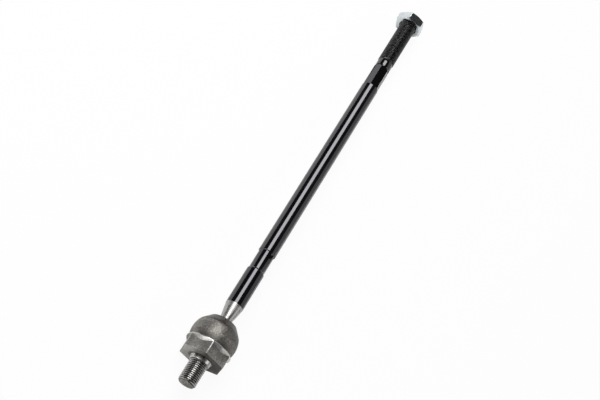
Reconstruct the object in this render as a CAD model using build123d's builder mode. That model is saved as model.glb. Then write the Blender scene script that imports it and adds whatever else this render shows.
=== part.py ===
from build123d import *
import os
from math import cos, hypot, radians, sin, sqrt, tan

# Inner tie rod of a rack and pinion steering, lying along +X.
# Millimetres. The origin is on the axis at the root of the rack stud,
# in the collar's face. The rack is on the -X side, the wheel on the +X side.

# Rack stud and its collar, turned on the housing forging
stud_diameter = 13.95
stud_length = 18.0
stud_chamfer = 1.0
collar_diameter = 16.6
collar_height = 2.8
collar_chamfer = 0.4

# Housing forging: hexagon below, dome above, a parting rim between them
hex_across_flats = 32.0
hex_corner_round = 0.5
hex_base_chamfer = 0.4
housing_turn = 15.9  # degrees from the lock nut's hexagon, as the joint stands
dome_diameter = 36.2
rim_diameter = 36.2
rim_below_ball = 7.1
rim_edge = 0.8
rim_top_slope = 0.5
rim_undercut_angle = 42.0
rim_undercut_depth = 2.7
coined_band_start = 8.0
lip_beyond_ball = 14.5
lip_width = 0.65

# Ball joint
seat_to_ball = 21.0  # from the stud's root to the ball's centre
ball_diameter = 24.0
ball_pole_flat = 6.0
neck_diameter = 8.8
neck_fillet = 1.0
swing_limit = 20.0  # degrees each way
swing_clearance = 0.34
running_clearance = 0.05
bearing_wall = 1.9
bearing_split = 0.8
bearing_end_relief = 0.4
bearing_back_wall = 1.5
bearing_boss_diameter = 11.2

# Dished preload spring behind the lower bearing
spring_diameter = 11.6
spring_hole = 5.2
spring_thickness = 0.7
spring_height = 1.4
spring_side_room = 0.4

# Rod, along its length from the stud's root
shaft_diameter = 14.05
cone_start = 37.5
cone_end = 51.3
boot_groove_start = 83.2
boot_groove_end = 101.2
boot_groove_depth = 0.75
boot_groove_lead = 1.1
boot_groove_shoulder = 0.5
wrench_flats_start = 279.3
wrench_flats_length = 20.7
wrench_flats_runout = 2.5
wrench_across_flats = 12.0
thread_neck_diameter = 13.1
thread_neck_shoulder = 1.2
thread_start = 309.5
thread_lead = 1.0
thread_diameter = 13.95
rod_end = 363.5
rod_end_chamfer = 1.2

# Lock nut, run on at the end of the thread
nut_across_flats = 22.0
nut_height = 8.0
nut_from_rod_end = 1.5
nut_chamfer_circle = 20.6
nut_chamfer_angle = 30.0
nut_countersink = 15.8

ball_radius = ball_diameter / 2
neck_radius = neck_diameter / 2
ball_seat_radius = ball_radius + running_clearance
bearing_radius = ball_seat_radius + bearing_wall
cavity_radius = bearing_radius + running_clearance
ball_x = seat_to_ball


def arc_mid(centre_x, radius, start, end):
    """Point halfway along an arc about the axis point centre_x, between two points on it."""
    along = (start[0] + end[0]) / 2 - centre_x
    out = (start[1] + end[1]) / 2
    stretch = radius / hypot(along, out)
    return (centre_x + along * stretch, out * stretch)


def on_ball_circle(radius, x_from_ball):
    """Point on a circle about the ball's centre, that far along the axis from it."""
    return (ball_x + x_from_ball, sqrt(radius**2 - x_from_ball**2))


def swept_radius(x_from_ball, clearance):
    """Radius that the neck sweeps at its swing limit, with clearance."""
    swing = radians(swing_limit)
    return x_from_ball * tan(swing) + neck_radius / cos(swing) + clearance


def sweep_meets(radius, clearance):
    """Distance from the ball's centre at which the neck's sweep meets a circle about it."""
    slope = tan(radians(swing_limit))
    start = swept_radius(0, clearance)
    reach = radius**2 * (1 + slope**2) - start**2
    return (sqrt(reach) - slope * start) / (1 + slope**2)


# The housing is one forging: stud, collar, hexagon and dome. The stud and the
# collar are turned, and the mouth is rolled inwards over the upper bearing.
rim_top_x = ball_x - rim_below_ball
rim_low_x = rim_top_x - rim_edge
undercut_inner = rim_diameter / 2 - rim_undercut_depth
undercut_x = rim_low_x - rim_undercut_depth / tan(radians(rim_undercut_angle))
dome_radius = dome_diameter / 2
dome_low = on_ball_circle(dome_radius, rim_top_slope - rim_below_ball)
dome_high = on_ball_circle(dome_radius, coined_band_start)
mouth_radius = swept_radius(lip_beyond_ball, swing_clearance)
lip_x = ball_x + lip_beyond_ball
lip_outer = (lip_x - lip_width / 3, mouth_radius + lip_width)
lip_crest = (lip_x + lip_width / 6, mouth_radius + lip_width / 2)
floor_x = ball_x - ball_seat_radius - bearing_back_wall - spring_height - running_clearance
pocket_radius = spring_diameter / 2 + spring_side_room
pocket_top = on_ball_circle(cavity_radius, -sqrt(cavity_radius**2 - pocket_radius**2))
throat = on_ball_circle(cavity_radius, sweep_meets(cavity_radius, swing_clearance))

with BuildPart() as housing:
    with BuildSketch(Plane.YZ.offset(collar_height)):
        RegularPolygon(hex_across_flats / 2, 6, major_radius=False, rotation=housing_turn)
    extrude(amount=rim_top_x - collar_height)
    fillet(housing.edges().filter_by(Axis.X), hex_corner_round)
    chamfer(housing.faces().sort_by(Axis.X)[0].edges(), hex_base_chamfer)

    # dome, parting rim and the coined band that closes in to the rolled lip
    with BuildSketch(Plane.XY):
        with BuildLine():
            Polyline(
                (undercut_x, 0),
                (undercut_x, undercut_inner),
                (rim_low_x, rim_diameter / 2),
                (rim_top_x, rim_diameter / 2),
                dome_low,
            )
            ThreePointArc(dome_low, (ball_x, dome_radius), dome_high)
            Line(dome_high, lip_outer)
            ThreePointArc(lip_outer, lip_crest, (lip_x, mouth_radius))
            Polyline((lip_x, mouth_radius), (lip_x, 0), (undercut_x, 0))
        make_face()
    revolve(axis=Axis.X)

    # stud and collar, carried a little way into the hexagon
    with BuildSketch(Plane.XY):
        with BuildLine():
            Polyline(
                (-stud_length, 0),
                (-stud_length, stud_diameter / 2 - stud_chamfer),
                (stud_chamfer - stud_length, stud_diameter / 2),
                (0, stud_diameter / 2),
                (0, collar_diameter / 2 - collar_chamfer),
                (collar_chamfer, collar_diameter / 2),
                (collar_height + hex_base_chamfer, collar_diameter / 2),
                (collar_height + hex_base_chamfer, 0),
                close=True,
            )
        make_face()
    revolve(axis=Axis.X)

    # bearing cavity: spring pocket, spherical bore and flared throat
    with BuildSketch(Plane.XY):
        with BuildLine():
            Polyline((lip_x, 0), (floor_x, 0), (floor_x, pocket_radius), pocket_top)
            ThreePointArc(pocket_top, (ball_x, cavity_radius), throat)
            Polyline(throat, (lip_x, mouth_radius), (lip_x, 0))
        make_face()
    revolve(axis=Axis.X, mode=Mode.SUBTRACT)


# Polymer lower bearing: a cup behind the ball with a flat boss for the spring.
boss_x = ball_x - ball_seat_radius - bearing_back_wall
boss_radius = bearing_boss_diameter / 2
boss_top = on_ball_circle(bearing_radius, -sqrt(bearing_radius**2 - boss_radius**2))
cup_inner = on_ball_circle(ball_seat_radius, -bearing_split / 2)
cup_outer = on_ball_circle(bearing_radius, -bearing_split / 2)
cup_pole = (ball_x - ball_seat_radius, 0)

with BuildPart() as lower_bearing:
    with BuildSketch(Plane.XY):
        with BuildLine():
            Polyline(cup_pole, (boss_x, 0), (boss_x, boss_radius), boss_top)
            ThreePointArc(
                boss_top, arc_mid(ball_x, bearing_radius, boss_top, cup_outer), cup_outer
            )
            Line(cup_outer, cup_inner)
            ThreePointArc(
                cup_inner, arc_mid(ball_x, ball_seat_radius, cup_inner, cup_pole), cup_pole
            )
        make_face()
    revolve(axis=Axis.X)


# Polymer upper bearing: a ring in front of the ball, held by the rolled mouth.
end_clearance = swing_clearance + bearing_end_relief
ring_inner_low = on_ball_circle(ball_seat_radius, bearing_split / 2)
ring_inner_high = on_ball_circle(ball_seat_radius, sweep_meets(ball_seat_radius, end_clearance))
ring_outer_low = on_ball_circle(bearing_radius, bearing_split / 2)
ring_outer_high = on_ball_circle(bearing_radius, sweep_meets(bearing_radius, end_clearance))

with BuildPart() as upper_bearing:
    with BuildSketch(Plane.XY):
        with BuildLine():
            Line(ring_inner_low, ring_outer_low)
            ThreePointArc(
                ring_outer_low,
                arc_mid(ball_x, bearing_radius, ring_outer_low, ring_outer_high),
                ring_outer_high,
            )
            Line(ring_outer_high, ring_inner_high)
            ThreePointArc(
                ring_inner_high,
                arc_mid(ball_x, ball_seat_radius, ring_inner_high, ring_inner_low),
                ring_inner_low,
            )
        make_face()
    revolve(axis=Axis.X)


# Dished spring washer: its outer edge stands on the housing's floor and its
# inner edge bears on the lower bearing's boss.
spring_low_x = boss_x - spring_height

with BuildPart() as preload_spring:
    with BuildSketch(Plane.XY):
        with BuildLine():
            Polyline(
                (spring_low_x, spring_diameter / 2),
                (spring_low_x + spring_thickness, spring_diameter / 2),
                (boss_x, spring_hole / 2),
                (boss_x - spring_thickness, spring_hole / 2),
                close=True,
            )
        make_face()
    revolve(axis=Axis.X)


# The tie rod is one piece: ball, neck, cone, shaft with the boot groove,
# pressed wrench flats, and the neck and blank of the outer thread.
shaft_radius = shaft_diameter / 2
groove_radius = shaft_radius - boot_groove_depth
ball_pole = on_ball_circle(ball_radius, -sqrt(ball_radius**2 - (ball_pole_flat / 2) ** 2))
ball_at_neck = on_ball_circle(ball_radius, sqrt(ball_radius**2 - neck_radius**2))
wrench_flats_end = wrench_flats_start + wrench_flats_length
flat_half_width = shaft_radius * sin(radians(60 / 2)) + 1

with BuildPart() as tie_rod:
    with BuildSketch(Plane.XY):
        with BuildLine():
            ThreePointArc(ball_pole, (ball_x, ball_radius), ball_at_neck)
            Polyline(
                ball_at_neck,
                (cone_start, neck_radius),
                (cone_end, shaft_radius),
                (boot_groove_start, shaft_radius),
                (boot_groove_start + boot_groove_lead, groove_radius),
                (boot_groove_end - boot_groove_shoulder, groove_radius),
                (boot_groove_end, shaft_radius),
                (wrench_flats_end, shaft_radius),
                (wrench_flats_end + thread_neck_shoulder, thread_neck_diameter / 2),
                (thread_start, thread_neck_diameter / 2),
                (thread_start + thread_lead, thread_diameter / 2),
                (rod_end - rod_end_chamfer, thread_diameter / 2),
                (rod_end, thread_diameter / 2 - rod_end_chamfer),
                (rod_end, 0),
                (ball_pole[0], 0),
                ball_pole,
            )
        make_face()
    revolve(axis=Axis.X)
    neck_root = tie_rod.edges().filter_by(GeomType.CIRCLE).sort_by(
        lambda edge: abs(edge.center().X - ball_at_neck[0])
    )[0]
    fillet(neck_root, neck_fillet)

    # six flats with square ends towards the ball and arched ends towards the thread
    for side in range(6):
        outward = radians(90 + 60 * side)
        face_plane = Plane(
            origin=(0, 0, 0), x_dir=(1, 0, 0), z_dir=(0, cos(outward), sin(outward))
        )
        with BuildSketch(face_plane.offset(wrench_across_flats / 2)):
            with BuildLine():
                Polyline(
                    (wrench_flats_end, flat_half_width),
                    (wrench_flats_start, flat_half_width),
                    (wrench_flats_start, -flat_half_width),
                    (wrench_flats_end, -flat_half_width),
                )
                ThreePointArc(
                    (wrench_flats_end, -flat_half_width),
                    (wrench_flats_end + wrench_flats_runout, 0),
                    (wrench_flats_end, flat_half_width),
                )
            make_face()
        extrude(amount=shaft_diameter / 2, mode=Mode.SUBTRACT)


# Thin lock nut, chamfered on both faces, with a countersunk bore.
nut_outer_x = rod_end - nut_from_rod_end
nut_inner_x = nut_outer_x - nut_height
nut_corner_radius = nut_across_flats / 2 / cos(radians(30))
nut_blank_radius = nut_corner_radius + 1
chamfer_rise = (nut_blank_radius - nut_chamfer_circle / 2) * tan(radians(nut_chamfer_angle))
bore_radius = thread_diameter / 2 + running_clearance
countersink_depth = nut_countersink / 2 - bore_radius

with BuildPart() as lock_nut:
    with BuildSketch(Plane.YZ.offset(nut_inner_x)):
        RegularPolygon(nut_across_flats / 2, 6, major_radius=False)
    extrude(amount=nut_height)
    with BuildSketch(Plane.XY):
        with BuildLine():
            Polyline(
                (nut_inner_x, bore_radius + countersink_depth),
                (nut_inner_x, nut_chamfer_circle / 2),
                (nut_inner_x + chamfer_rise, nut_blank_radius),
                (nut_outer_x - chamfer_rise, nut_blank_radius),
                (nut_outer_x, nut_chamfer_circle / 2),
                (nut_outer_x, bore_radius + countersink_depth),
                (nut_outer_x - countersink_depth, bore_radius),
                (nut_inner_x + countersink_depth, bore_radius),
                close=True,
            )
        make_face()
    revolve(axis=Axis.X, mode=Mode.INTERSECT)


os.makedirs("parts", exist_ok=True)
housing.part.label = "housing"
lower_bearing.part.label = "lower_bearing"
upper_bearing.part.label = "upper_bearing"
preload_spring.part.label = "preload_spring"
tie_rod.part.label = "tie_rod"
lock_nut.part.label = "lock_nut"
for piece in (housing, lower_bearing, upper_bearing, preload_spring, tie_rod, lock_nut):
    export_step(piece.part, f"parts/{piece.part.label}.step")
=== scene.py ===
from math import atan2, ceil, cos, hypot, pi, radians, sin, sqrt, tan

import bmesh
import bpy
from mathutils import Matrix, Vector, noise


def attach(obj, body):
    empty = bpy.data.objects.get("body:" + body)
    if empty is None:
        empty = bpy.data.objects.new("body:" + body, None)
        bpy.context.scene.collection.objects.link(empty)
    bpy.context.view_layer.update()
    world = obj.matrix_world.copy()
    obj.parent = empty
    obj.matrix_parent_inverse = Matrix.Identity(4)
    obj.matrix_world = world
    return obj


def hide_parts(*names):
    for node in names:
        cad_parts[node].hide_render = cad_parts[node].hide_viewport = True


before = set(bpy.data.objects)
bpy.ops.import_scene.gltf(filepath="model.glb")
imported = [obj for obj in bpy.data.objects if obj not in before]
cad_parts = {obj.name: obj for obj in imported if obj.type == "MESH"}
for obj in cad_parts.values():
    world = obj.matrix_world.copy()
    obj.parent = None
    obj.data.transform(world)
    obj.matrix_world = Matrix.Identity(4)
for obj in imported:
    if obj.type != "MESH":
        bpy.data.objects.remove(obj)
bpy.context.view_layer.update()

# Housing: one steel forging with a dark phosphate skin, hexagonal below and domed above the ball.
# The stud, its collar and the bearing cavity are machined bright, the stud's thread is rolled,
# and the mouth is rolled inwards over the upper bearing.
MM = 0.001
COLUMNS = 96  # facets round every turned surface
HALF_SIDE = pi / 6  # angle from a hexagon's corner to the middle of its flat
PITCH = 1.5
THREAD_CREST = 6.975
THREAD_ROOT = 6.06
FLANK_ANGLE = radians(30)
WELD_DISTANCE = 0.002
SLIVER_LENGTH = 0.001
BALL_X = 21.0
RING = "ring"  # which part of the turned outline a vertex belongs to
FLOAT_A, FLOAT_B = 2, 3  # a Mix node's sockets for two values
COLOUR_A, COLOUR_B, COLOUR_OUT = 6, 7, 2  # and for two colours


def turn_profile(bm, points, first_angle=0.0, rings=()):
    """Spins a chain of (x, radius) points in millimetres once round the rod's axis."""
    layer = bm.verts.layers.int.get(RING) or bm.verts.layers.int.new(RING)
    chain = []
    for number, (x, radius) in enumerate(points):
        place = (x * MM, radius * MM * cos(first_angle), radius * MM * sin(first_angle))
        vert = bm.verts.new(place)
        vert[layer] = rings[number] if rings else 0
        chain.append(vert)
    edges = [bm.edges.new(pair) for pair in zip(chain, chain[1:])]
    bmesh.ops.spin(
        bm,
        geom=chain + edges,
        cent=(0, 0, 0),
        axis=(1, 0, 0),
        dvec=(0, 0, 0),
        angle=2 * pi,
        steps=COLUMNS,
        use_merge=True,
        use_duplicate=False,
    )


def wind_thread(bm, start, end, limits, first_angle=0.0, crest=THREAD_CREST, root=THREAD_ROOT):
    """Adds a right-hand thread from start to end, with its radius held inside limits(x)."""
    thread = bmesh.new()
    flank = (crest - root) * tan(FLANK_ANGLE)
    crest_flat = PITCH / 8
    root_flat = PITCH - crest_flat - 2 * flank
    one_pitch = [
        (0, root),
        (root_flat / 2, root),
        (root_flat / 2 + flank, crest),
        (root_flat / 2 + flank + crest_flat, crest),
        (PITCH - root_flat / 2, root),
        (PITCH, root),
    ]
    chain = []
    for x, radius in one_pitch:
        across = radius * MM
        place = ((start - PITCH + x) * MM, across * cos(first_angle), across * sin(first_angle))
        chain.append(thread.verts.new(place))
    edges = [thread.edges.new(pair) for pair in zip(chain, chain[1:])]
    bmesh.ops.spin(
        thread,
        geom=chain + edges,
        cent=(0, 0, 0),
        axis=(1, 0, 0),
        dvec=(PITCH * MM / COLUMNS, 0, 0),
        angle=2 * pi,
        steps=COLUMNS,
        use_merge=False,
        use_duplicate=False,
    )
    one_turn = thread.verts[:] + thread.edges[:] + thread.faces[:]
    for turn in range(1, ceil((end - start) / PITCH) + 1):
        copy = bmesh.ops.duplicate(thread, geom=one_turn)["geom"]
        moved = [part for part in copy if isinstance(part, bmesh.types.BMVert)]
        bmesh.ops.translate(thread, verts=moved, vec=(PITCH * turn * MM, 0, 0))
    for vert in thread.verts:
        x = min(max(vert.co.x / MM, start), end)
        radius = hypot(vert.co.y, vert.co.z) / MM
        low, high = limits(x)
        stretch = min(max(radius, low), high) / radius
        vert.co = (x * MM, vert.co.y * stretch, vert.co.z * stretch)
    wound = bpy.data.meshes.new("thread")
    thread.to_mesh(wound)
    thread.free()
    bm.from_mesh(wound)
    bpy.data.meshes.remove(wound)


def ramp(x, x0, y0, x1, y1):
    """Straight line through two points, flat outside them."""
    share = min(max((x - x0) / (x1 - x0), 0), 1)
    return y0 + (y1 - y0) * share


def arc_points(centre_x, radius, first, last, count):
    """Points (x, radius) of an arc about a point on the axis, between two angles from +X."""
    angles = [first + (last - first) * k / count for k in range(count + 1)]
    return [(centre_x + radius * cos(angle), radius * sin(angle)) for angle in angles]


def from_corner(angle):
    """Angle from the nearest corner of a hexagon whose corners stand at multiples of 60 degrees."""
    return (angle + HALF_SIDE) % (2 * HALF_SIDE) - HALF_SIDE


def corner_tangent(flats, corner_round):
    """Angle from a hexagon's corner at which its rounding meets the flat."""
    centre = (flats / 2 - corner_round) / cos(HALF_SIDE)
    return atan2(corner_round * sin(HALF_SIDE), centre + corner_round * cos(HALF_SIDE))


def rounded_hexagon(off, flats, corner_round):
    """Distance from the axis to a hexagon's outline, at an angle off from its nearest corner."""
    centre = (flats / 2 - corner_round) / cos(HALF_SIDE)
    if abs(off) < corner_tangent(flats, corner_round):
        return centre * cos(off) + sqrt(corner_round**2 - (centre * sin(off)) ** 2)
    return flats / 2 / cos(HALF_SIDE - abs(off))


def gathered(off, tangent):
    """Draws the two columns on each side of a corner into its rounding."""
    reach = 2 * 2 * pi / COLUMNS
    if abs(off) < reach + 0.001:
        return off * tangent / reach
    return off


def closed_piece(bm, name, body, replaced, materials, smooth_angle=35):
    """Makes a closed mesh an object that rides its body and stands for its CAD node."""
    bmesh.ops.remove_doubles(bm, verts=bm.verts, dist=WELD_DISTANCE * MM)
    bmesh.ops.dissolve_degenerate(bm, dist=SLIVER_LENGTH * MM, edges=bm.edges)
    bmesh.ops.recalc_face_normals(bm, faces=bm.faces)
    mesh = bpy.data.meshes.new(name)
    bm.to_mesh(mesh)
    bm.free()
    mesh.polygons.foreach_set("use_smooth", [True] * len(mesh.polygons))
    mesh.set_sharp_from_angle(angle=radians(smooth_angle))
    for material in materials:
        mesh.materials.append(material)
    piece = bpy.data.objects.new(name, mesh)
    bpy.context.scene.collection.objects.link(piece)
    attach(piece, body)
    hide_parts(replaced)


def new_material(name, base, metallic, roughness, ior=1.5):
    """A Principled material with its constant values on the shader's own sockets."""
    material = bpy.data.materials.new(name)
    material.use_nodes = True
    shader = material.node_tree.nodes["Principled BSDF"]
    shader.inputs["Base Color"].default_value = (*base, 1)
    shader.inputs["Metallic"].default_value = metallic
    shader.inputs["Roughness"].default_value = roughness
    shader.inputs["IOR"].default_value = ior
    return material, material.node_tree, shader


def object_noise(tree, scale, detail, stretch=(1, 1, 1), roughness=0.6):
    """Noise on the piece's own coordinates, stretched along its axes."""
    where = tree.nodes.new("ShaderNodeTexCoord")
    mapping = tree.nodes.new("ShaderNodeMapping")
    mapping.inputs["Scale"].default_value = stretch
    grain = tree.nodes.new("ShaderNodeTexNoise")
    grain.inputs["Scale"].default_value = scale
    grain.inputs["Detail"].default_value = detail
    grain.inputs["Roughness"].default_value = roughness
    tree.links.new(where.outputs["Object"], mapping.inputs["Vector"])
    tree.links.new(mapping.outputs["Vector"], grain.inputs["Vector"])
    return grain.outputs["Fac"]


def colour_steps(tree, value, steps):
    """Colours between given values of a pattern: (position, (r, g, b))."""
    node = tree.nodes.new("ShaderNodeValToRGB")
    while len(node.color_ramp.elements) < len(steps):
        node.color_ramp.elements.new(0.5)
    for element, (position, colour) in zip(node.color_ramp.elements, steps):
        element.position = position
        element.color = (*colour, 1)
    tree.links.new(value, node.inputs["Fac"])
    return node.outputs["Color"]


def value_range(tree, value, low, high, from_low=0.3, from_high=0.7):
    """Rescales a pattern to a range of values."""
    node = tree.nodes.new("ShaderNodeMapRange")
    node.inputs["From Min"].default_value = from_low
    node.inputs["From Max"].default_value = from_high
    node.inputs["To Min"].default_value = low
    node.inputs["To Max"].default_value = high
    tree.links.new(value, node.inputs["Value"])
    return node.outputs["Result"]


def vary_roughness(tree, shader, pattern, low, high):
    """Lets the roughness follow a pattern between two values."""
    tree.links.new(value_range(tree, pattern, low, high), shader.inputs["Roughness"])


def vary_colour(tree, shader, pattern, steps):
    """Lets the colour follow a pattern between given steps."""
    tree.links.new(colour_steps(tree, pattern, steps), shader.inputs["Base Color"])


def root_shade(tree, depth, full=1, root=6.1, crest=6.85):
    """A value that goes from depth in a thread's roots to full on its crests, for painted shade in
    the roots.
    """
    where = tree.nodes.new("ShaderNodeTexCoord")
    flat = tree.nodes.new("ShaderNodeVectorMath")
    flat.operation = "MULTIPLY"
    flat.inputs[1].default_value = (0, 1, 1)
    tree.links.new(where.outputs["Object"], flat.inputs[0])
    reach = tree.nodes.new("ShaderNodeVectorMath")
    reach.operation = "LENGTH"
    tree.links.new(flat.outputs["Vector"], reach.inputs[0])
    return value_range(tree, reach.outputs["Value"], depth, full, root * MM, crest * MM)


def shade_in_roots(tree, colour, depth):
    """Darkens a colour by that much in a thread's roots: painted shade."""
    node = tree.nodes.new("ShaderNodeVectorMath")
    node.operation = "SCALE"
    tree.links.new(colour, node.inputs[0])
    tree.links.new(root_shade(tree, depth), node.inputs["Scale"])
    return node.outputs["Vector"]


def carried(tree, layer):
    """Reads a share from 0 to 1 that the mesh carries in a named layer."""
    node = tree.nodes.new("ShaderNodeAttribute")
    node.attribute_name = layer
    return node.outputs["Fac"]


def product(tree, first, second):
    """Multiplies two patterns."""
    node = tree.nodes.new("ShaderNodeMath")
    node.operation = "MULTIPLY"
    tree.links.new(first, node.inputs[0])
    tree.links.new(second, node.inputs[1])
    return node.outputs["Value"]


def mixed_patterns(tree, first, second, share):
    """Blends a share of a second pattern into the first."""
    node = tree.nodes.new("ShaderNodeMix")
    node.inputs[0].default_value = share
    tree.links.new(first, node.inputs[FLOAT_A])
    tree.links.new(second, node.inputs[FLOAT_B])
    return node.outputs[0]


def blended_value(tree, share, under, over):
    """Lays one value over a pattern by a share."""
    node = tree.nodes.new("ShaderNodeMix")
    tree.links.new(share, node.inputs[0])
    tree.links.new(under, node.inputs[FLOAT_A])
    node.inputs[FLOAT_B].default_value = over
    return node.outputs[0]


def blended_colour(tree, share, under, over):
    """Lays one colour over a pattern by a share."""
    node = tree.nodes.new("ShaderNodeMix")
    node.data_type = "RGBA"
    tree.links.new(share, node.inputs[0])
    tree.links.new(under, node.inputs[COLOUR_A])
    node.inputs[COLOUR_B].default_value = (*over, 1)
    return node.outputs[COLOUR_OUT]


def add_bump(tree, shader, height, depth, strength=1.0, under=None):
    """Gives the surface a fine relief of that depth, in millimetres, on top of another relief."""
    node = tree.nodes.new("ShaderNodeBump")
    node.inputs["Distance"].default_value = depth * MM
    node.inputs["Strength"].default_value = strength
    tree.links.new(height, node.inputs["Height"])
    if under:
        tree.links.new(under, node.inputs["Normal"])
    tree.links.new(node.outputs["Normal"], shader.inputs["Normal"])
    return node.outputs["Normal"]


housing_turn = radians(15.9)  # from +Y to the hexagon's first corner
hex_flats = 32.0
half_flats = hex_flats / 2
hex_corner_round = 0.5
stud_end = -18.0
stud_tip_radius = 5.95
run_out_radius = 6.35  # where the stud's thread meets the collar
base_x = 2.8
rim_radius = 18.1
rim_x = 13.1
rim_dip = 0.35  # of the parting rim between two corners
flash_wander = 0.12  # of the rim's edge, inwards
flash_lift = 0.1  # of the rim's edge, along the axis
flash_waves = 3
undercut_slope = tan(radians(42))
shelf_x = 13.9
dome_radius = 18.1
cavity_radius = 14.0
cavity_floor_x = 6.0
spring_seat_radius = 6.2
throat_x = 31.77
throat_radius = 8.94

plain_ring, base_ring, base_edge_ring, facet_ring = range(1, 5)
crescent_ring, rim_ring, shelf_edge_ring, shelf_ring = range(5, 9)
stud_to_base = [
    (0, run_out_radius),
    (0, 7.5),
    (0.1, 7.72),
    (0.35, 7.9),
    (2.3, 8.28),
    (2.55, 8.4),
    (base_x, 8.8),
]
hexagon = [
    (base_x, 10.6, base_ring),
    (base_x, 12.6, base_ring),
    (base_x, half_flats - 0.5, base_edge_ring),
    (base_x + 0.12, half_flats - 0.2, base_edge_ring),
    (base_x + 0.45, half_flats, facet_ring),
    (9.0, half_flats, crescent_ring),
    (rim_x - 0.1, rim_radius - 0.09, rim_ring),
    (rim_x + 0.1, rim_radius, rim_ring),
    (shelf_x - 0.15, rim_radius, rim_ring),
    (shelf_x, rim_radius - 0.1, shelf_edge_ring),
    (shelf_x + 0.2, 17.45, shelf_ring),
]
dome = arc_points(BALL_X, dome_radius, radians(111.4), radians(64), 24)
dome_end_x = dome[-1][0]
coned_band = [(31.2, 14.5), (33.4, 12.62), (35.15, 11.12)]
rolled_lip = [(35.4, 10.92), (35.55, 10.78), (35.6, 10.62), (35.58, 10.45), (35.5, 10.3)]
flare = [(34.2, 9.83), (throat_x, throat_radius)]
cavity = arc_points(BALL_X, cavity_radius, radians(39.7), radians(153.7), 24)
spring_seat = [
    (8.45, spring_seat_radius),
    (cavity_floor_x, spring_seat_radius),
    (cavity_floor_x, 0),
]

forging = bmesh.new()
outline = stud_to_base + [point[:2] for point in hexagon]
outline_rings = [plain_ring] * len(stud_to_base) + [point[2] for point in hexagon]
outline += dome + coned_band + rolled_lip + flare + cavity + spring_seat
outline_rings += [plain_ring] * (len(outline) - len(outline_rings))
turn_profile(forging, outline, housing_turn, outline_rings)

# Painted shade carried by the forging's vertices: in recesses and creases, behind and under the
# rim, on part of the collar's flank and on the side away from the light.
PAINTED_SHADE = "painted_shade"
lit_side = radians(-25)  # from +Y: the lit side, where facets and base get the most painted highlight and the least painted shade, and the crescents the least painted highlight
valley_x = 14.0  # where the dome rises from the shelf behind the rim
valley_reach = 4.5
valley_radius = 15.0
# Shares of painted shade on the dome's side away from the light, on the shelf and under the rim,
# and the azimuths of a painted dark reflection on the collar's flank.
far_side_shade = 0.4
shelf_shade = 0.8
crescent_shade = 0.35
collar_dark_reflection = (radians(30), radians(87))
recess_shade_radius = 9.0  # painted shade inside this radius: the fillet at the collar's foot, and what lies inside the mouth


def away_from_lit_side(azimuth):
    """Share from 0 on the lit side to 1 on the side across from it, for painted highlight and
    painted shade.
    """
    return 0.5 - 0.5 * cos(azimuth - lit_side)


def painted_shade_share(ring, x, radius, azimuth, mid_flat):
    """How much painted shade lies at a point of the forging, from 0 to 1."""
    away = away_from_lit_side(azimuth)
    # painted shade on the base, darker away from the lit side
    if ring in (base_ring, base_edge_ring) and x < base_x + 0.05:
        return min(max(1.15 * away - 0.05, 0), 1)
    # painted shade under the rim, at the crescents
    if ring == crescent_ring:
        return crescent_shade
    # painted shade on the shelf behind the rim, mid-flat
    if ring == shelf_ring:
        return shelf_shade * mid_flat
    if ring != plain_ring:
        return 0
    # painted dark reflection on part of the collar's flank
    if 1 < x < base_x - 0.1:
        return 1 if collar_dark_reflection[0] < azimuth < collar_dark_reflection[1] else 0
    # painted shade in the fillet at the collar's foot, inside the mouth and in the crease at the
    # dome's edge
    if radius < recess_shade_radius and x > base_x - 0.1 or abs(x - dome_end_x) < 0.1:
        return 1
    # painted shade in the valley behind the rim, mid-flat, and on the dome's side away from the
    # light
    if radius > valley_radius and x > valley_x:
        valley = (1 - min((x - valley_x) / valley_reach, 1)) * mid_flat
        return min(valley + far_side_shade * max(2 * away - 1, 0), 1)
    return 0


ring_layer = forging.verts.layers.int[RING]
painted_shade_layer = forging.verts.layers.float.new(PAINTED_SHADE)
tangent = corner_tangent(hex_flats, hex_corner_round)
for vert in forging.verts:
    ring = vert[ring_layer]
    x = vert.co.x / MM
    radius = hypot(vert.co.y, vert.co.z) / MM
    azimuth = atan2(vert.co.z, vert.co.y)
    corner_off = from_corner(azimuth - housing_turn)
    mid_flat = abs(corner_off) / HALF_SIDE
    vert[painted_shade_layer] = painted_shade_share(ring, x, radius, azimuth, mid_flat)
    if ring < base_edge_ring:
        continue
    off = gathered(corner_off, tangent)
    azimuth += off - corner_off
    side = rounded_hexagon(off, hex_flats, hex_corner_round)
    if ring in (base_edge_ring, facet_ring):
        radius = side - (half_flats - radius)
    elif ring == crescent_ring:
        radius = side
        x = min(rim_x - (rim_radius - side) / undercut_slope, rim_x - 0.3)
    elif ring == rim_ring:
        radius = max(side, radius)
    if ring in (rim_ring, shelf_edge_ring, shelf_ring):
        wave = Vector((cos(azimuth) * flash_waves, sin(azimuth) * flash_waves, x * 0.2))
        grain = noise.noise(wave)
        radius -= flash_wander * abs(grain)
        x += flash_lift * grain - rim_dip * mid_flat**2
    if ring == shelf_edge_ring:
        radius = max(side - 0.1, radius)
    vert.co = (x * MM, radius * MM * cos(azimuth), radius * MM * sin(azimuth))


def stud_limits(x):
    """Radii between which the stud's thread is rolled: end chamfer and run-out at the collar."""
    if x < stud_end / 2:
        low = ramp(x, stud_end, stud_tip_radius, stud_end + 0.15, THREAD_ROOT)
        high = ramp(x, stud_end, stud_tip_radius, stud_end + 1.03, THREAD_CREST)
    else:
        low = ramp(x, -0.9, THREAD_ROOT, 0, run_out_radius)
        high = ramp(x, -0.75, THREAD_CREST, 0, run_out_radius)
    return low, max(low, high)


stud_face = [(stud_end, 0), (stud_end, 4.5), (stud_end, stud_tip_radius)]
turn_profile(forging, stud_face, housing_turn)
wind_thread(forging, stud_end, 0, stud_limits, housing_turn)

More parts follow.
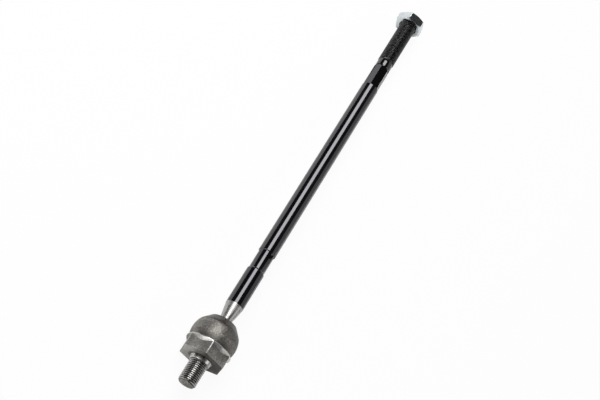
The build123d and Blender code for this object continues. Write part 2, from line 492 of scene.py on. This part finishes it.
# Bright worn metal on the rim, the ridges and the base's bevel, and painted highlight on the
# facets, base, shelf and crescents, carried by the forging's faces.
WEAR_AND_HIGHLIGHT = "wear_and_highlight"
bevel_wear = 0.3
facet_highlight = 0.4
base_highlight = 0.4
shelf_highlight = 0.9
phosphated_slot, burnished_slot, machined_slot = range(3)


def wear_and_highlight_share(tags, azimuth, off):
    """How bright a face between those rings is made, off from its corner, from 0 to 1: bright worn
    metal on the rim and ridges, and painted highlight on the facets, base, shelf and crescents.
    """
    away = away_from_lit_side(azimuth)
    on_rim = rim_ring in tags and tags <= {rim_ring, shelf_edge_ring}
    on_ridge = off < tangent and tags <= {base_edge_ring, facet_ring, crescent_ring}
    # bright worn metal on the rim and the ridges
    if on_rim or on_ridge:
        return 1
    # crescents: sheared bright metal, with painted highlight growing away from the lit side
    if tags == {crescent_ring, rim_ring}:
        return min(0.1 + 1.15 * away, 1)
    if tags == {base_edge_ring, facet_ring}:
        return bevel_wear
    # painted highlight in the middle of the facets on the lit side
    if tags == {facet_ring, crescent_ring}:
        return facet_highlight * (1 - away) * off / HALF_SIDE
    # painted highlight on the shelf near the corners
    if tags == {shelf_edge_ring, shelf_ring}:
        return shelf_highlight * (1 - off / HALF_SIDE)
    # painted highlight on the base's lit side
    if base_ring in tags and tags <= {base_ring, base_edge_ring}:
        return base_highlight * (1 - away)
    return 0


wear_highlight_layer = forging.faces.layers.float.new(WEAR_AND_HIGHLIGHT)
for face in forging.faces:
    centre = face.calc_center_median()
    x = centre.x / MM
    radius = hypot(centre.y, centre.z) / MM
    azimuth = atan2(centre.z, centre.y)
    stud_or_collar = stud_end + 0.05 < x < base_x - 0.01
    in_mouth = x < throat_x - 0.07 or radius < rolled_lip[-1][1] - 0.1
    inside = x > cavity_floor_x - 1 and radius < cavity_radius + 0.02 and in_mouth
    face.material_index = phosphated_slot
    if stud_or_collar or inside:
        face.material_index = machined_slot
    elif x > dome_end_x:
        face.material_index = burnished_slot
    tags = {vert[ring_layer] for vert in face.verts}
    face[wear_highlight_layer] = wear_and_highlight_share(tags, azimuth, abs(from_corner(azimuth - housing_turn)))

scale_dark = (0.1, 0.093, 0.083)
scale_grey = (0.24, 0.227, 0.209)
scale_light = (0.44, 0.423, 0.398)
forging_shade = (0.045, 0.04, 0.034)
bright_wear_and_highlight = (0.76, 0.75, 0.73)
phosphate, tree, shader = new_material("phosphated_forging", (0.3, 0.285, 0.265), 0.8, 0.48)
mottle = object_noise(tree, 800, 6, roughness=0.75)
cloud = object_noise(tree, 90, 4)
blotches = mixed_patterns(tree, mottle, cloud, 0.36)
# painted shade from the shade layer, then bright worn metal and painted highlight from the wear
# layer
forging_shade_mask = product(tree, carried(tree, PAINTED_SHADE), value_range(tree, cloud, 0.7, 1))
wear_and_highlight_mask = product(tree, carried(tree, WEAR_AND_HIGHLIGHT), value_range(tree, mottle, 0.75, 1))
skin = colour_steps(tree, blotches, [(0.38, scale_dark), (0.5, scale_grey), (0.6, scale_light)])
skin = blended_colour(tree, forging_shade_mask, skin, forging_shade)
skin = blended_colour(tree, wear_and_highlight_mask, skin, bright_wear_and_highlight)
tree.links.new(skin, shader.inputs["Base Color"])
dull = value_range(tree, blotches, 0.4, 0.56)
tree.links.new(blended_value(tree, wear_and_highlight_mask, dull, 0.34), shader.inputs["Roughness"])
tree.links.new(value_range(tree, wear_and_highlight_mask, 0.8, 1, 0, 1), shader.inputs["Metallic"])
scale_relief = add_bump(tree, shader, mottle, 0.16, 0.8)
add_bump(tree, shader, object_noise(tree, 1600, 3), 0.04, 0.5, scale_relief)

rolled_dark = (0.06, 0.056, 0.052)
rolled_grey = (0.17, 0.162, 0.152)
burnished, tree, shader = new_material("burnished_band", (0.2, 0.19, 0.178), 1, 0.3)
streaks = object_noise(tree, 160, 5)
vary_colour(tree, shader, streaks, [(0.35, rolled_dark), (0.66, rolled_grey)])
vary_roughness(tree, shader, streaks, 0.26, 0.38)
add_bump(tree, shader, object_noise(tree, 900, 4), 0.03, 0.5)

turned_grey = (0.42, 0.411, 0.396)
turned_bright = (0.68, 0.67, 0.65)
machined_shade = (0.04, 0.036, 0.03)
machined, tree, shader = new_material("machined_steel", (0.44, 0.435, 0.42), 0.95, 0.3)
tool_marks = object_noise(tree, 400, 3, (6, 0.6, 0.6))
stains = object_noise(tree, 420, 5)
turned = colour_steps(tree, stains, [(0.35, turned_grey), (0.65, turned_bright)])
# painted shade from the shade layer on the collar's flank, the fillet at its foot and the cavity,
# then painted shade in the thread's roots
turned = blended_colour(tree, carried(tree, PAINTED_SHADE), turned, machined_shade)
tree.links.new(shade_in_roots(tree, turned, 0.12), shader.inputs["Base Color"])
vary_roughness(tree, shader, tool_marks, 0.22, 0.34)
add_bump(tree, shader, tool_marks, 0.03, 0.6)

housing_skin = [phosphate, burnished, machined]
closed_piece(forging, "housing_forging", "housing", "housing", housing_skin)


# Bearings: two natural white polymer shells round the ball, moulded and greased, pressed in
# before the housing's mouth was rolled. Only the upper one's edge shows, inside the mouth.
ball_radius = 12.0
running_gap = 0.05
bearing_bore = ball_radius + running_gap
bearing_radius = cavity_radius - running_gap

polymer_shaded = (0.66, 0.62, 0.53)
polymer_white = (0.8, 0.78, 0.71)
polymer, tree, shader = new_material("bearing_polymer", (0.74, 0.71, 0.63), 0, 0.38)
flow = object_noise(tree, 150, 4)
vary_colour(tree, shader, flow, [(0.35, polymer_shaded), (0.65, polymer_white)])
add_bump(tree, shader, object_noise(tree, 500, 3), 0.03, 0.5)

upper = bmesh.new()
upper_ring = arc_points(BALL_X, bearing_bore, radians(88.1), radians(46.5), 14)
upper_ring += [(29.45, 8.62), (30.95, 9.2)]
upper_ring += arc_points(BALL_X, bearing_radius, radians(42.9), radians(88.36), 16)
upper_ring.append(upper_ring[0])
turn_profile(upper, upper_ring)
closed_piece(upper, "upper_bearing_ring", "bearings", "upper_bearing", [polymer])

lower = bmesh.new()
lower_cup = [(7.45, 0), (7.45, 5.4), (7.6, 5.6), (8.22, 5.6)]
lower_cup += arc_points(BALL_X, bearing_radius, radians(155.4), radians(91.7), 18)
lower_cup += arc_points(BALL_X, bearing_bore, radians(91.9), radians(179.2), 18)
lower_cup.append((8.95, 0))
turn_profile(lower, lower_cup)
closed_piece(lower, "lower_bearing_cup", "bearings", "lower_bearing", [polymer])


# Preload spring: a dished washer of blued spring steel, pressed nearly flat between the
# housing's floor and the lower bearing. Its edges are tumbled round.
blue_dark = (0.1, 0.11, 0.14)
blue_light = (0.24, 0.24, 0.26)
blued, tree, shader = new_material("blued_spring_steel", (0.16, 0.17, 0.2), 0.9, 0.32)
oxide = object_noise(tree, 300, 4)
vary_colour(tree, shader, oxide, [(0.35, blue_dark), (0.65, blue_light)])
add_bump(tree, shader, object_noise(tree, 700, 3), 0.02, 0.5)

dish = bmesh.new()
dish_rim = [(6.05, 5.7), (6.15, 5.8), (6.65, 5.8), (6.75, 5.7)]
dish_hole = [(7.45, 2.72), (7.35, 2.6), (6.85, 2.6), (6.75, 2.72)]
turn_profile(dish, dish_rim + dish_hole + dish_rim[:1])
closed_piece(dish, "dished_spring", "bearings", "preload_spring", [blued])


# Tie rod: one piece of steel. The ball, neck and cone are ground bright; from the end of the
# cone the shaft, boot groove, wrench flats and rolled thread carry a smooth gloss black coat.
shaft = 7.025
throat_neck = 4.4
coat_x = 51.3
groove_depth = 0.75
flats_start = 279.3
flats_end = 300.0
flats_apex = 302.5
wrench_flats = 12.0
neck_x = 301.2
neck_radius = 6.55
thread_x = 309.1
rod_end = 363.5
rod_tip_radius = 5.8

rod_ring, hex_ring, arch_ring, arch_top_ring, arch_neck_ring = range(5)
ball = arc_points(BALL_X, ball_radius, radians(165.5), radians(27), 44)
ball_foot = [(31.95, 5.0), (32.25, 4.68), (32.65, 4.48)]
throat = [(33.2, throat_neck), (36.9, throat_neck), (37.4, 4.43), (37.9, 4.5)]
cone_end = [(coat_x - 0.5, 6.93), (coat_x, shaft - 0.01), (coat_x + 0.5, shaft)]
groove_near = [
    (82.7, shaft),
    (83.05, shaft - 0.02),
    (83.3, shaft - 0.08),
    (84.15, shaft - 0.7),
    (84.4, shaft - groove_depth),
]
groove_far = [
    (100.55, shaft - groove_depth),
    (100.75, shaft - 0.68),
    (101.1, shaft - 0.06),
    (101.25, shaft + 0.03),
    (101.5, shaft + 0.04),
    (101.9, shaft),
]
shaft_end = [(flats_start - 0.15, shaft), (flats_start, shaft - 0.12)]
wrench_hexagon = [
    (flats_start + 0.03, 6.5, hex_ring),
    (flats_end, 6.5, arch_ring),
    (flats_end + 0.3, 6.9, arch_top_ring),
    (neck_x + 0.1, neck_radius, arch_neck_ring),
]
neck = [(304, neck_radius), (thread_x, neck_radius)]

rod = bmesh.new()
rod_profile = [(ball[0][0], 0)] + ball + ball_foot + throat + cone_end
rod_profile += groove_near + groove_far + shaft_end
rod_rings = [rod_ring] * len(rod_profile) + [point[2] for point in wrench_hexagon]
rod_rings += [rod_ring] * len(neck)
rod_profile += [point[:2] for point in wrench_hexagon] + neck
turn_profile(rod, rod_profile, 0, rod_rings)

ring_layer = rod.verts.layers.int[RING]
half_flat = wrench_flats / 2 * tan(HALF_SIDE)
for vert in rod.verts:
    ring = vert[ring_layer]
    if ring == rod_ring:
        continue
    angle = atan2(vert.co.z, vert.co.y)
    from_middle = HALF_SIDE - abs(from_corner(angle))
    across = wrench_flats / 2 * tan(from_middle)
    arch = flats_apex - (flats_apex - flats_end) * (across / half_flat) ** 2
    x = vert.co.x / MM
    radius = wrench_flats / 2 / cos(from_middle)
    if ring == arch_ring:
        x = arch
    elif ring == arch_top_ring:
        x = arch + 0.12
        radius = ramp(x, flats_end, shaft, neck_x, neck_radius)
    elif ring == arch_neck_ring:
        x = max(neck_x, arch + 0.2)
        radius = neck_radius
    vert.co = (x * MM, radius * MM * cos(angle), radius * MM * sin(angle))


def rod_thread_limits(x):
    """Radii between which the outer thread is rolled: run-in from the neck and end chamfer."""
    if x < (thread_x + rod_end) / 2:
        low = ramp(x, thread_x, neck_radius, thread_x + 1.8, THREAD_ROOT)
        high = ramp(x, thread_x, neck_radius, thread_x + 0.6, THREAD_CREST)
    else:
        low = ramp(x, rod_end - 0.3, THREAD_ROOT, rod_end, rod_tip_radius)
        high = ramp(x, rod_end - 1.2, THREAD_CREST, rod_end, rod_tip_radius)
    return low, high


wind_thread(rod, thread_x, rod_end, rod_thread_limits)
turn_profile(rod, [(rod_end, rod_tip_radius), (rod_end, 4), (rod_end, 0)])

gloss_slot, ground_slot, thread_slot = range(3)
for face in rod.faces:
    x = face.calc_center_median().x / MM
    face.material_index = gloss_slot
    if x < coat_x:
        face.material_index = ground_slot
    elif thread_x < x < rod_end - 0.01:
        face.material_index = thread_slot

coat_black = (0.0015, 0.0015, 0.0017)
coat_rubbed = (0.0045, 0.0045, 0.005)
coat_sheen = (0.93, 0.93, 1, 1)
black, tree, shader = new_material("gloss_black_coat", (0.002, 0.002, 0.0022), 0, 0.08, 1.9)
shader.inputs["Specular Tint"].default_value = coat_sheen
rub = object_noise(tree, 70, 4)
vary_colour(tree, shader, rub, [(0.45, coat_black), (0.75, coat_rubbed)])
vary_roughness(tree, shader, rub, 0.065, 0.11)
add_bump(tree, shader, object_noise(tree, 900, 2, (1.6, 0.08, 0.08)), 0.003, 0.4)

ground_grey = (0.4, 0.395, 0.39)
ground_bright = (0.56, 0.554, 0.548)
ground, tree, shader = new_material("ground_steel", (0.5, 0.495, 0.49), 1, 0.3)
grind_marks = object_noise(tree, 900, 3, (0.1, 1, 1))
vary_colour(tree, shader, grind_marks, [(0.35, ground_grey), (0.65, ground_bright)])
vary_roughness(tree, shader, grind_marks, 0.3, 0.46)
add_bump(tree, shader, grind_marks, 0.012, 0.5)

thread_black = (0.002, 0.002, 0.0023)
painted_crest_glint = (0.12, 0.12, 0.122)
thread_base = (0.003, 0.003, 0.0034)
rolled_black, tree, shader = new_material("black_rolled_thread", thread_base, 0, 0.2, 1.65)
sag = object_noise(tree, 1500, 3)
# painted glints on the crests, and painted shade in the roots that darkens both colour and
# reflection
crest_glints = colour_steps(tree, sag, [(0.5, thread_black), (0.64, painted_crest_glint)])
tree.links.new(shade_in_roots(tree, crest_glints, 0.02), shader.inputs["Base Color"])
tree.links.new(root_shade(tree, 0.02, 0.5), shader.inputs["Specular IOR Level"])
vary_roughness(tree, shader, sag, 0.12, 0.3)
add_bump(tree, shader, sag, 0.1, 0.9)

rod_skin = [black, ground, rolled_black]
closed_piece(rod, "black_tie_rod", "tie_rod", "tie_rod", rod_skin)


# Lock nut: a thin hexagon nut of zinc-plated steel, chamfered on both faces, tapped right through.
# It is run on by hand and tightened against the outer tie rod end.
nut_flats = 22.0
nut_corner_round = 0.45
nut_inner = 354.0
nut_outer = 362.0
nut_face_radius = 10.3
countersink_radius = 7.9
countersink_depth = 0.85
tapping_major = 7.02
tapping_minor = 6.24

turned_ring, inner_arc_ring, outer_arc_ring = range(3)
nut_side = [
    (nut_inner, countersink_radius, turned_ring),
    (nut_inner, 9.2, turned_ring),
    (nut_inner, nut_face_radius - 0.05, turned_ring),
    (nut_inner + 0.03, nut_face_radius + 0.02, turned_ring),
    (nut_inner + 1, nut_flats / 2, inner_arc_ring),
    (nut_outer - 1, nut_flats / 2, outer_arc_ring),
    (nut_outer - 0.03, nut_face_radius + 0.02, turned_ring),
    (nut_outer, nut_face_radius - 0.05, turned_ring),
    (nut_outer, 9.2, turned_ring),
    (nut_outer, countersink_radius, turned_ring),
    (nut_outer - 0.12, 7.72, turned_ring),
    (nut_outer - countersink_depth, tapping_major, turned_ring),
]
inner_countersink = [
    (nut_inner, countersink_radius),
    (nut_inner + 0.12, 7.72),
    (nut_inner + countersink_depth, tapping_major),
]
nut = bmesh.new()
turn_profile(nut, [point[:2] for point in nut_side], 0, [point[2] for point in nut_side])
turn_profile(nut, inner_countersink)

nut_slope = tan(radians(30))
ring_layer = nut.verts.layers.int[RING]
tangent = corner_tangent(nut_flats, nut_corner_round)
for vert in nut.verts:
    ring = vert[ring_layer]
    if ring == turned_ring:
        continue
    angle = atan2(vert.co.z, vert.co.y)
    corner_off = from_corner(angle)
    off = gathered(corner_off, tangent)
    angle += off - corner_off
    side = rounded_hexagon(off, nut_flats, nut_corner_round)
    rise = (side - nut_face_radius) * nut_slope
    x = nut_inner + rise if ring == inner_arc_ring else nut_outer - rise
    vert.co = (x * MM, side * MM * cos(angle), side * MM * sin(angle))

tapping_start = nut_inner + countersink_depth
tapping_end = nut_outer - countersink_depth


def nut_thread_limits(x):
    """Radii between which the nut is tapped, running out in both countersinks."""
    near = ramp(x, tapping_start, tapping_major, tapping_start + 0.5, tapping_minor)
    far = ramp(x, tapping_end - 0.5, tapping_minor, tapping_end, tapping_major)
    return max(near, far), tapping_major


wind_thread(nut, tapping_start, tapping_end, nut_thread_limits, 0, tapping_major, 6.1)

zinc_grey = (0.62, 0.665, 0.69)
zinc_bright = (0.78, 0.815, 0.83)
zinc, tree, shader = new_material("zinc_plate", (0.6, 0.64, 0.66), 1, 0.16)
plating = object_noise(tree, 220, 5)
vary_colour(tree, shader, plating, [(0.3, zinc_grey), (0.7, zinc_bright)])
vary_roughness(tree, shader, plating, 0.13, 0.2)
add_bump(tree, shader, object_noise(tree, 600, 3), 0.01, 0.2)
closed_piece(nut, "zinc_lock_nut", "lock_nut", "lock_nut", [zinc], 20)


# Studio: a pale floor under the housing's rim and the nut's flat, white to the camera, a wide
# softbox overhead and one beyond the stud, a dim card on each side of the rod, and the camera
# above and in front of the stud.
rim_rest_x = 14.5
nut_rest_x = 361.3
floor_slope = atan2(rim_radius - nut_flats / 2, nut_rest_x - rim_rest_x)
floor_place = (rim_rest_x * MM, 0, -rim_radius * MM)
floor_bm = bmesh.new()
bmesh.ops.create_grid(floor_bm, x_segments=1, y_segments=1, size=4)
bmesh.ops.transform(
    floor_bm,
    matrix=Matrix.Translation(floor_place) @ Matrix.Rotation(-floor_slope, 4, "Y"),
    verts=floor_bm.verts,
)
floor_mesh = bpy.data.meshes.new("floor")
floor_bm.to_mesh(floor_mesh)
floor_bm.free()
floor = bpy.data.objects.new("floor", floor_mesh)
bpy.context.scene.collection.objects.link(floor)

camera_white = 0.93  # share of plain white in what the camera sees of the floor
pale_albedo = 0.95  # for the camera and for reflections
dim_albedo = 0.5  # for the light that the floor throws back on the part
white = (1, 1, 1, 1)
paper = bpy.data.materials.new("pale_paper")
paper.use_nodes = True
tree = paper.node_tree
tree.nodes.clear()
rays = tree.nodes.new("ShaderNodeLightPath")
white_share = tree.nodes.new("ShaderNodeMath")
white_share.operation = "MULTIPLY_ADD"
white_share.inputs[1].default_value = camera_white
tree.links.new(rays.outputs["Is Camera Ray"], white_share.inputs[0])
tree.links.new(rays.outputs["Is Transmission Ray"], white_share.inputs[2])
shown = tree.nodes.new("ShaderNodeMath")
shown.operation = "MAXIMUM"
tree.links.new(rays.outputs["Is Camera Ray"], shown.inputs[0])
tree.links.new(rays.outputs["Is Glossy Ray"], shown.inputs[1])
albedo = value_range(tree, shown.outputs["Value"], dim_albedo, pale_albedo, 0, 1)
grey = tree.nodes.new("ShaderNodeCombineXYZ")
for axis in range(3):
    tree.links.new(albedo, grey.inputs[axis])
matt = tree.nodes.new("ShaderNodeBsdfDiffuse")
tree.links.new(grey.outputs[0], matt.inputs["Color"])
glow = tree.nodes.new("ShaderNodeEmission")
glow.inputs["Color"].default_value = white
glow.inputs["Strength"].default_value = 1
mixed = tree.nodes.new("ShaderNodeMixShader")
tree.links.new(white_share.outputs[0], mixed.inputs["Fac"])
tree.links.new(matt.outputs[0], mixed.inputs[1])
tree.links.new(glow.outputs[0], mixed.inputs[2])
surface = tree.nodes.new("ShaderNodeOutputMaterial")
tree.links.new(mixed.outputs[0], surface.inputs["Surface"])
floor_mesh.materials.append(paper)

room_light = 0.03
world = bpy.data.worlds.new("studio")
bpy.context.scene.world = world
world.use_nodes = True
tree = world.node_tree
tree.nodes.clear()
rays = tree.nodes.new("ShaderNodeLightPath")
dim = tree.nodes.new("ShaderNodeBackground")
dim.inputs["Color"].default_value = white
dim.inputs["Strength"].default_value = room_light
pale = tree.nodes.new("ShaderNodeBackground")
pale.inputs["Color"].default_value = white
mixed = tree.nodes.new("ShaderNodeMixShader")
tree.links.new(rays.outputs["Is Camera Ray"], mixed.inputs["Fac"])
tree.links.new(dim.outputs[0], mixed.inputs[1])
tree.links.new(pale.outputs[0], mixed.inputs[2])
sky = tree.nodes.new("ShaderNodeOutputWorld")
tree.links.new(mixed.outputs[0], sky.inputs["Surface"])


def turned_to(right, up, back, place):
    """Matrix of an object at a place, from the directions of its own three axes."""
    return Matrix.Translation(place) @ Matrix((right, up, back)).transposed().to_4x4()


def softbox(name, place, target, width, height, radiance):
    """A rectangular lamp of that radiance, its long side along the rod where it can be."""
    lamp = bpy.data.lights.new(name, "AREA")
    lamp.shape = "RECTANGLE"
    lamp.size = width
    lamp.size_y = height
    lamp.energy = radiance * pi * width * height
    fixture = bpy.data.objects.new(name, lamp)
    bpy.context.scene.collection.objects.link(fixture)
    back = (Vector(place) - Vector(target)).normalized()
    along = (Vector((1, 0, 0)) - back * back.x).normalized()
    fixture.matrix_world = turned_to(along, back.cross(along), back, place)
    fixture.visible_camera = False


housing_place = (0, 0, 0)
rod_far_half = (0.3, 0, 0)
softbox("overhead_softbox", (0.57, 0.43, 0.94), rod_far_half, 1.38, 0.62, 4.6)
softbox("front_softbox", (-0.9, 0.75, 0.5), housing_place, 0.8, 0.7, 3.6)
softbox("near_card", (-0.24, -0.9, 0.55), housing_place, 1.17, 0.65, 1.15)
softbox("far_card", (1.05, -0.95, 0.46), rod_far_half, 1.3, 1.0, 0.45)

camera_place = (-0.2762, 0.2210, 0.7518)
camera_right = Vector((0.46268, -0.74292, 0.48373)).normalized()
camera_up = Vector((0.74383, 0.62220, 0.24412)).normalized()
camera_back = camera_right.cross(camera_up)
camera = bpy.data.cameras.new("camera")
camera.lens = 69.37
camera.sensor_width = 36
camera.sensor_fit = "HORIZONTAL"
camera_object = bpy.data.objects.new("camera", camera)
bpy.context.scene.collection.objects.link(camera_object)
camera_object.matrix_world = turned_to(camera_right, camera_up, camera_back, camera_place)
bpy.context.scene.camera = camera_object
bpy.context.scene.view_settings.view_transform = "Standard"
